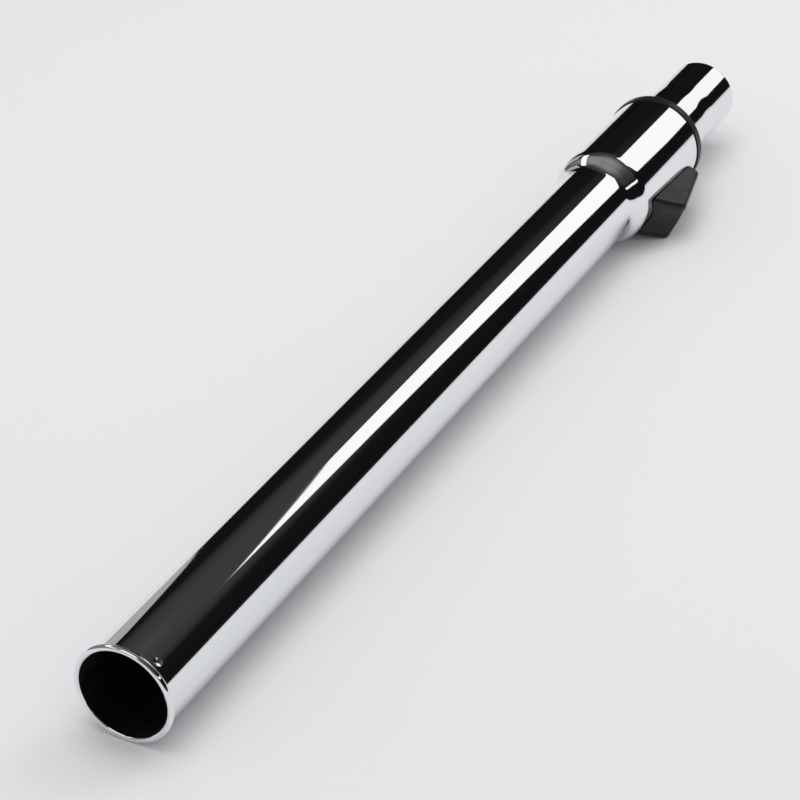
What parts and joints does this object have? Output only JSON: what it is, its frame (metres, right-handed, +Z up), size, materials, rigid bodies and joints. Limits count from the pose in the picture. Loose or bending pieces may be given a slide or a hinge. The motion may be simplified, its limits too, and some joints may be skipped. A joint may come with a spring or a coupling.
{
  "type": "telescopic vacuum wand",
  "caption": "Chromed telescopic tube for a vacuum cleaner, collapsed, with a rolled handle socket, a flared collar, a sliding thumb catch and a necked spigot for the floor tool.",
  "frame": {"origin": "centre of the handle socket's mouth, on the tube axis", "axes": "+X along the tube axis towards the floor tool's spigot; +Z up as the wand lies on its rim, its mouth ring and the catch, which points to -Y and a little down"},
  "size_m": [0.5444, 0.0589, 0.0476],
  "materials": {
    "outer_chrome": "polished chrome",
    "inner_chrome": "polished chrome",
    "dark_plastic": "moulded, satin",
    "black_plastic": "moulded, semi-gloss",
    "sleeve_plastic": "moulded, matt",
    "felt": "felt",
    "steel": "bright steel",
    "seal_rubber": "moulded rubber"
  },
  "bodies": {
    "outer": {"outer_tube": "outer_chrome", "guide_sleeve": "sleeve_plastic", "wiper_seal": "felt", "mouth_ring": "dark_plastic", "return_spring_left": "steel", "return_spring_right": "steel"},
    "inner": {"inner_tube": "inner_chrome", "tail_bush": "sleeve_plastic", "tail_seal": "seal_rubber"},
    "catch": {"thumb_slider": "black_plastic", "cam_carriage": "steel", "carriage_screws": "steel"},
    "roller": {"lock_roller": "steel"}
  },
  "joints": [
    {"name": "inner_slide", "type": "slide", "parent": "outer", "child": "inner", "axis": [1, 0, 0], "range_m": [0, 0.324]},
    {"name": "catch_slide", "type": "slide", "parent": "outer", "child": "catch", "axis": [1, 0, 0], "range_m": [0, 0.006], "stiffness_N_per_m": 600, "springref_m": -0.006, "deforming": ["return_spring_left", "return_spring_right"]},
    {"name": "roller_lift", "type": "slide", "parent": "outer", "child": "roller", "axis": [0, -0.9094, -0.4159], "range_m": [0, 0.0014]}
  ],
  "couplings": [
    {"joint": "roller_lift", "follows": "catch_slide", "ratio": 0.23333}
  ]
}
